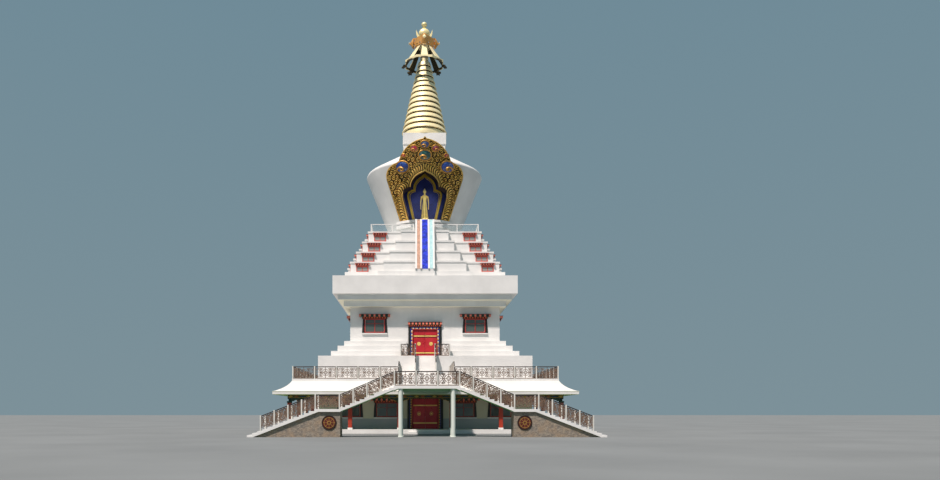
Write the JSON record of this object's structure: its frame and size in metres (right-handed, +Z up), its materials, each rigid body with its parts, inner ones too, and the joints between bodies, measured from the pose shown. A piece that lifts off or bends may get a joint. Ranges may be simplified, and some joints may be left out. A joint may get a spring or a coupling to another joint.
{
  "type": "walk-in stupa with porch and double stair",
  "caption": "Whitewashed walk-in stupa: porch and terrace, double stair and bridge, throne storey, stepped terraces, vase with niche, ringed gold spire.",
  "frame": {"origin": "on the ground, on the axis of the tower", "axes": "+Z up, front with the entrance and the double stair towards -Y, +X to the right of a person facing the entrance"},
  "size_m": [23.4, 30.93, 37.2],
  "materials": {
    "plaster": "white limewash on masonry",
    "wall_plaster": "off-white limewash on masonry",
    "stone": "rough split stone cladding",
    "window_glass": "dark clear glass",
    "black_paint": "satin black paint",
    "door_paint": "crimson gloss paint on timber",
    "column_paint": "red satin paint",
    "iron": "dark painted scrollwork",
    "carved_gilding": "old gilding on carving",
    "gold": "polished gilding"
  },
  "bodies": {
    "building": {"plinth": "plaster", "ground_wall_front_right": "wall_plaster", "ground_wall_front_left": "wall_plaster", "ground_wall_over_door": "wall_plaster", "ground_wall_right": "wall_plaster", "ground_wall_back": "wall_plaster", "ground_wall_left": "wall_plaster", "ground_glazing": "window_glass", "entrance_frame": "black_paint", "porch_front": "column_paint", "porch_back": "column_paint", "porch_right": "column_paint", "porch_left": "column_paint", "eave_roof": "plaster", "terrace_floor": "plaster", "terrace_rail_front_right": "iron", "terrace_rail_front_left": "iron", "terrace_rail_right": "iron", "terrace_rail_back": "iron", "terrace_rail_left": "iron", "base_block": "plaster", "stepped_base": "plaster", "throne_wall_front": "plaster", "throne_wall_right": "plaster", "throne_wall_back": "plaster", "throne_wall_left": "plaster", "throne_glazing": "window_glass", "upper_door_frame": "black_paint", "upper_door": "door_paint", "cornice_corbels": "plaster", "cornice_slab": "plaster", "terrace_tier_1": "plaster", "terrace_tier_2": "plaster", "terrace_tier_3": "plaster", "terrace_tier_4": "plaster", "summit_floor": "plaster", "summit_balustrade": "plaster", "triple_stair": "plaster", "vase": "plaster", "niche_surround": "carved_gilding", "niche_pedestal": "plaster", "standing_figure": "gold", "harmika": "plaster", "spire": "gold", "parasol": "gold", "finial": "gold", "landing": "plaster", "upper_flight_right": "plaster", "upper_flight_left": "plaster", "lower_flight_right": "stone", "lower_flight_left": "stone", "stair_rail_front": "iron", "stair_rail_rear_right": "iron", "stair_rail_rear_left": "iron", "bridge": "plaster", "central_stair": "plaster", "balcony_rail_right": "iron", "balcony_rail_left": "iron"},
    "door_right": {"entrance_door_right": "door_paint"},
    "door_left": {"entrance_door_left": "door_paint"}
  },
  "joints": [
    {"name": "door_right_hinge", "type": "hinge", "parent": "building", "child": "door_right", "pos_m": [0.975, -8.41, 0.3], "axis": [0, 0, -1], "range_deg": [0, 90]},
    {"name": "door_left_hinge", "type": "hinge", "parent": "building", "child": "door_left", "pos_m": [-0.975, -8.41, 0.3], "axis": [0, 0, 1], "range_deg": [0, 90]}
  ]
}
